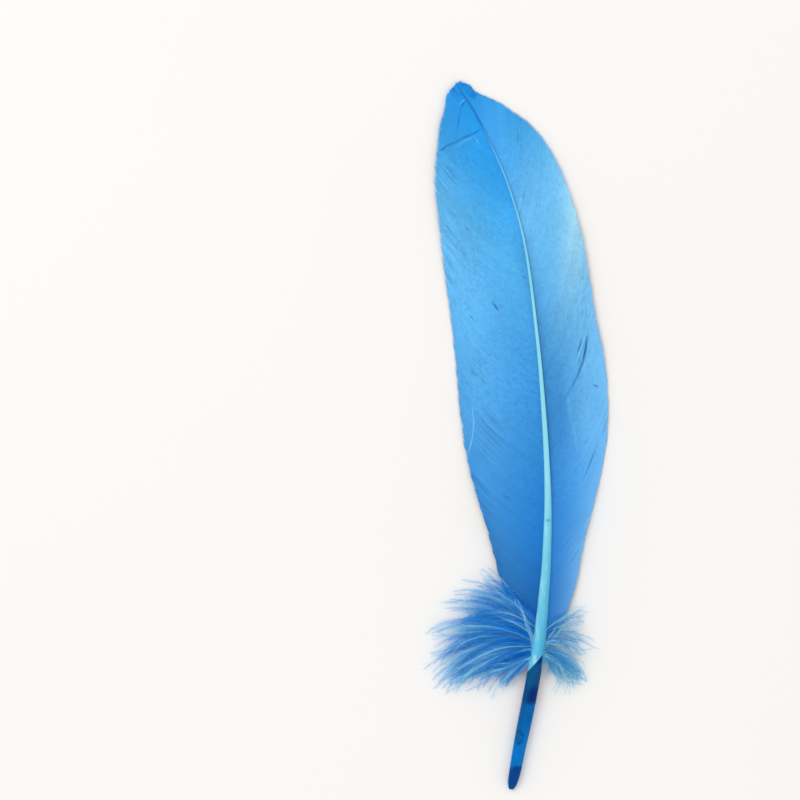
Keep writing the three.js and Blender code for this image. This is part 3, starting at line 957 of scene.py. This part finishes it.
def vane(name, kind, tree, material):
    """One vane of separate barbs, with its splits, frays, flaws and ragged edge."""
    rng = np.random.default_rng(kind["seed"])
    place = np.linspace(0, 1, BARB_COUNT)
    length, loose = barb_lengths(kind, place, rng)
    reach = np.linspace(0, 1, BARB_STEPS + 1)[None, :] ** 0.9 * length[:, None]
    share = reach / length[:, None]
    points = barb_grid(kind, place, np.minimum(reach, 1.05))

    # Width and facing come from the undisturbed vane, so that barbs part where it splits
    tangent = unit(np.gradient(points, axis=1))
    across = np.gradient(points, axis=0)
    facing = unit(np.cross(tangent, across))
    facing *= np.sign(facing[..., 2:])
    spacing = np.linalg.norm(np.cross(across, tangent), axis=-1)
    taper = np.clip((1.004 - share) / TIP_TAPER, 0.15, 1)
    half_width = np.clip(0.5 * BARB_OVERLAP * spacing, *BARB_HALF_WIDTHS) * taper / math.cos(math.pi / 6)
    ahead = unit(across - tangent * np.sum(across * tangent, axis=-1, keepdims=True))

    # Barbs are pushed along the vane and lifted off it, in waves and each a little on its own
    apart = fray(kind, points, rng)
    points = points + ahead * (parting(kind, place, share, loose, rng) + 0.18 * apart)[..., None]
    lift = 0.05 * waves(place, rng, (0.07, 0.025))[:, None] * share * (1 - 0.3 * share)
    lift = lift + 0.008 * rng.standard_normal(BARB_COUNT)[:, None] * share + 0.25 * np.abs(apart)
    tousle = tousled(place) * np.abs(rng.standard_normal(BARB_COUNT))
    lift += 0.3 * tousle[:, None] * share**2

    # How light each is: a half is the dye itself, and the vane's light table adds painted light and shade
    tone = 0.5 + 0.022 * rng.standard_normal(BARB_COUNT)[:, None] + 0.9 * apart
    tone = tone + 0.025 * waves(place, rng, (0.04, 0.015))[:, None]
    tone = tone + over_vane(kind["light"], place, share)
    # Painted shade in the groove beside the shaft
    tone = tone - kind["groove"] * np.exp(-share / 0.05)
    for x, y, size in FLAWS:
        offset = points - np.array([x, y, 0.0])
        offset[..., 2] = 0
        down_barb = np.sum(offset * tangent, axis=-1) / size
        cross_barb = np.sum(offset * ahead, axis=-1) / FLAW_HALF_WIDTH
        tone -= FLAW_DEPTH * np.exp(-(down_barb**2) - cross_barb**2)
    points[..., 2] = np.maximum(points[..., 2] + lift, 0.1)
    values = {
        "half_width": half_width * MM,
        "facing": facing,
        "tone": np.clip(tone, 0, 1),
        "reach": share,
        "place": place[:, None] + np.zeros_like(reach),
        "wash": np.clip(over_vane(kind["pale"], place, share**2), 0, 1),
    }
    web(name + "_web", kind["side"], points, values, material)
    if kind["tip_fan"]:
        points, values = joined((points, values), tip_barbs(rng))
    piece = grow(polylines(name, points, values), tree, {"Material": material})
    dress(piece)


# The shaft
def shaft(material):
    """The quill and rachis as one skin: round below, boxy with a groove underneath above."""
    y = np.concatenate([
        np.linspace(0, END_LENGTH, 6)[:-1], np.linspace(END_LENGTH, QUILL_LENGTH, 60)[:-1],
        np.linspace(QUILL_LENGTH, SHAFT_END, 170),
    ])
    angle = np.linspace(0, 2 * np.pi, SHAFT_SIDES, endpoint=False)[None, :]
    step = 0.3
    rise = change(y, HEIGHT, step) * (y > FLAT_LENGTH)
    forward = unit(np.stack([change(y, BEND, step), np.full_like(y, 2 * step), rise], axis=-1))
    right = unit(np.stack([forward[:, 1], -forward[:, 0], np.zeros_like(y)], axis=-1))
    up = np.cross(right, forward)

    # A ring of points around its centre at each place
    boxy = np.clip((y - BOX_START) / BOX_LENGTH, 0, 1)[:, None]
    power = lerp(1, BOX_POWER, boxy)
    half_width = read(SHAFT, y, HALF_WIDTH)[:, None]
    half_depth = read(SHAFT, y, HALF_DEPTH)[:, None]
    aside = np.sign(np.cos(angle)) * np.abs(np.cos(angle)) ** power
    tall = np.sign(np.sin(angle)) * np.abs(np.sin(angle)) ** power
    groove = GROOVE_DEPTH * boxy * np.exp(-((aside / GROOVE_WIDTH) ** 2)) * (np.sin(angle) < 0)
    height = np.where(y < FLAT_LENGTH, half_depth[:, 0], read(SHAFT, y, HEIGHT))
    centre = np.stack([read(SHAFT, y, BEND), y, height], axis=-1)
    ring = centre[:, None] + right[:, None] * (aside * half_width)[..., None]
    ring = ring + up[:, None] * ((tall + groove) * half_depth)[..., None]
    ring[..., 2] = np.maximum(ring[..., 2], 0)

    # The quill's end is drawn in to a small pit, and the tip to a point
    end = [centre[0] + forward[0] * depth + (ring[0] - centre[0]) * size for depth, size in END_RINGS]
    rings = np.concatenate([np.array(end[::-1]), ring])
    vertices = np.vstack([
        rings.reshape(-1, 3), centre[0] + forward[0] * PIT_DEPTH, centre[-1] + forward[-1] * TIP_POINT,
    ])
    pit = len(rings) * SHAFT_SIDES
    point = pit + 1
    last = pit - SHAFT_SIDES
    faces = []
    for i in range(0, last, SHAFT_SIDES):
        for k in range(SHAFT_SIDES):
            n = (k + 1) % SHAFT_SIDES
            faces.append((i + k, i + n, i + SHAFT_SIDES + n, i + SHAFT_SIDES + k))
    for k in range(SHAFT_SIDES):
        n = (k + 1) % SHAFT_SIDES
        faces.append((n, k, pit))
        faces.append((last + k, last + n, point))
    mesh = bpy.data.meshes.new("shaft")
    mesh.from_pydata(in_frame(vertices).tolist(), [], faces)
    store(mesh, "flank", np.concatenate([np.tile(np.cos(angle[0]), len(rings)), [0.0, 0.0]]))
    mesh.validate()
    mesh.shade_smooth()
    mesh.materials.append(material)
    dress(new_object("shaft", mesh))


# The down
def strands(locks, count, rng, shade, lit_share, curl, above=0.0, wander=1.0):
    """Strands of down scattered about their locks: their points and their values."""
    share = np.linspace(0, 1, STRAND_STEPS + 1)[None, :]
    rows = np.repeat(np.array(locks, dtype=float), count, axis=0)
    amount = len(rows)

    def vary(spread):
        return rng.standard_normal(amount)[:, None] * spread

    def some(low, high):
        return rng.uniform(low, high, (amount, 1))

    # Strands that stick together in a clump share most of their course
    clump = np.arange(amount) // CLUMP_STRANDS

    def shared(spread, own):
        together = rng.standard_normal(clump[-1] + 1)[clump][:, None]
        return (together * spread + vary(own)) * wander

    start, heading, turn, length, rise, end = (rows[:, k : k + 1] for k in range(6))
    start = start + vary(0.45) * wander
    shorter = np.abs(shared(*LENGTH_SPREAD)) + some(0, 0.24) * wander
    length = length * np.clip(1 - shorter, 0.25, 1)
    angle = np.radians(heading + shared(*HEADING_SPREAD))
    angle = angle + np.radians(turn + shared(*TURN_SPREAD)) * share
    for size, low, high in CURLS:
        wave = np.sin(2 * np.pi * (share * some(low, high) + some(0, 1)))
        angle = angle + np.radians(vary(size * curl)) * wave * share

    # It grows from the shaft's side, rises and falls to its tip
    step = length / STRAND_STEPS
    beside = np.sign(np.cos(np.radians(heading))) * read(SHAFT, start, HALF_WIDTH) * some(0.5, 0.95)
    root = np.concatenate([read(SHAFT, start, BEND) + beside, start], axis=1)
    moves = np.stack([np.cos(angle), np.sin(angle)], axis=-1)[:, :-1] * step[..., None]
    plan = np.concatenate([root[:, None], root[:, None] + np.cumsum(moves, axis=1)], axis=1)
    base = np.maximum(read(SHAFT, start, HEIGHT) - 0.3 + above, 0.9) + vary(0.3) * wander
    height = lerp(base, end * some(0.7, 1.5), share)
    height = height + rise * some(0.5, 1.6) * np.sin(np.pi * share) * (1 - 0.4 * share)
    height = height + vary(0.2) * np.sin(5 * share)
    points = np.concatenate([plan, np.maximum(height, 0.2)[..., None]], axis=-1)
    # A strand's tone: deep at its root, dye with painted shade where strands crowd, paler towards its
    # tip, and painted paler as if lit on the share of strands that are lit
    lit = some(0, 1) < lit_share
    values = {
        "half_width": (1 + lit) * lerp(*STRAND_HALF_WIDTHS, share**0.8) * some(0.8, 1.2) * MM,
        "facing": np.zeros_like(points) + UPWARD,
        "fluff": np.sin(np.pi * np.clip(share * 0.9 + 0.08, 0, 1)) ** 0.5 * some(0.6, 1.15),
        "tone": np.clip(shade + lit * some(0.45, 0.85) + 0.66 * share**1.7 + vary(0.07), 0, 1),
    }
    return points, values


def down(name, kind, tree):
    """The down on one side: full locks, and single barbs that stray from them."""
    material = down_material(*kind["dyes"])
    rng = np.random.default_rng(kind["seed"])
    locks = strands(kind["locks"], kind["strands"], rng, kind["shade"], kind["lit"], kind["curl"])
    strays = strands(kind["strays"], 2, rng, shade=0.3, lit_share=1.0, curl=1.0, above=0.7, wander=0.35)
    strays[1]["fluff"] *= 0.6
    piece = grow(polylines(name, *joined(locks, strays)), tree, {
        "Spacing": kind["spacing"] * MM, "Seed": kind["seed"], "Material": material,
    })
    keep_off_table(piece)
    dress(piece)


# The table, light and camera
FIELD = 200  # how much the camera sees across, in millimetres
FIELD_HEIGHT = 3  # the height above the table that this is true at
VIEW_CENTRE = (-27.9, 97.25)  # the point that the camera looks at
LENS = 200
SENSOR = 36
TABLE_HALF = 2  # metres
ROOM_WHITE = (1, 0.995, 0.992, 1)
ROOM_LIGHT = 0.84
WINDOW_PLACE = (-0.55, 0.5, 0.95)  # metres
WINDOW_SIZE = 0.7
WINDOW_POWER = 2.9


def table():
    material, tree, base = new_material("white_board", 0.9, 0.1)
    tone = ramp(tree, noise(tree, 3), ((0.3, BOARD_DARK), (0.7, BOARD_PALE)))
    tree.links.new(tone, base)
    low = float(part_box("feather")[0][2])
    corners = [(x * TABLE_HALF, y * TABLE_HALF, low) for x, y in ((-1, -1), (1, -1), (1, 1), (-1, 1))]
    mesh = bpy.data.meshes.new("table")
    mesh.from_pydata(corners, [], [(0, 1, 2, 3)])
    mesh.materials.append(material)
    new_object("table", mesh)


def light():
    world = bpy.data.worlds.new("soft_room")
    world.use_nodes = True
    ground = world.node_tree.nodes["Background"]
    ground.inputs["Color"].default_value = ROOM_WHITE
    ground.inputs["Strength"].default_value = ROOM_LIGHT
    bpy.context.scene.world = world
    lamp = bpy.data.lights.new("window", "AREA")
    lamp.shape = "DISK"
    lamp.size = WINDOW_SIZE
    lamp.energy = WINDOW_POWER
    window = new_object("window", lamp)
    window.location = WINDOW_PLACE
    window.rotation_euler = window.location.to_track_quat("Z", "Y").to_euler()


def camera():
    lens = bpy.data.cameras.new("camera")
    lens.lens = LENS
    lens.sensor_width = SENSOR
    lens.clip_start = 0.01
    eye = new_object("camera", lens)
    height = FIELD * LENS / SENSOR + FIELD_HEIGHT
    eye.location = in_frame(np.array([*VIEW_CENTRE, height])).tolist()
    bpy.context.scene.camera = eye
    bpy.context.scene.view_settings.view_transform = "Standard"


camera()
light()
table()
barbs = barb_tree()
fluff = down_tree()
vane_dye = vane_material()
vane("wide_vane", WIDE_VANE, barbs, vane_dye)
vane("narrow_vane", NARROW_VANE, barbs, vane_dye)
shaft(shaft_material())
down("down_left", LEFT_DOWN, fluff)
down("down_right", RIGHT_DOWN, fluff)
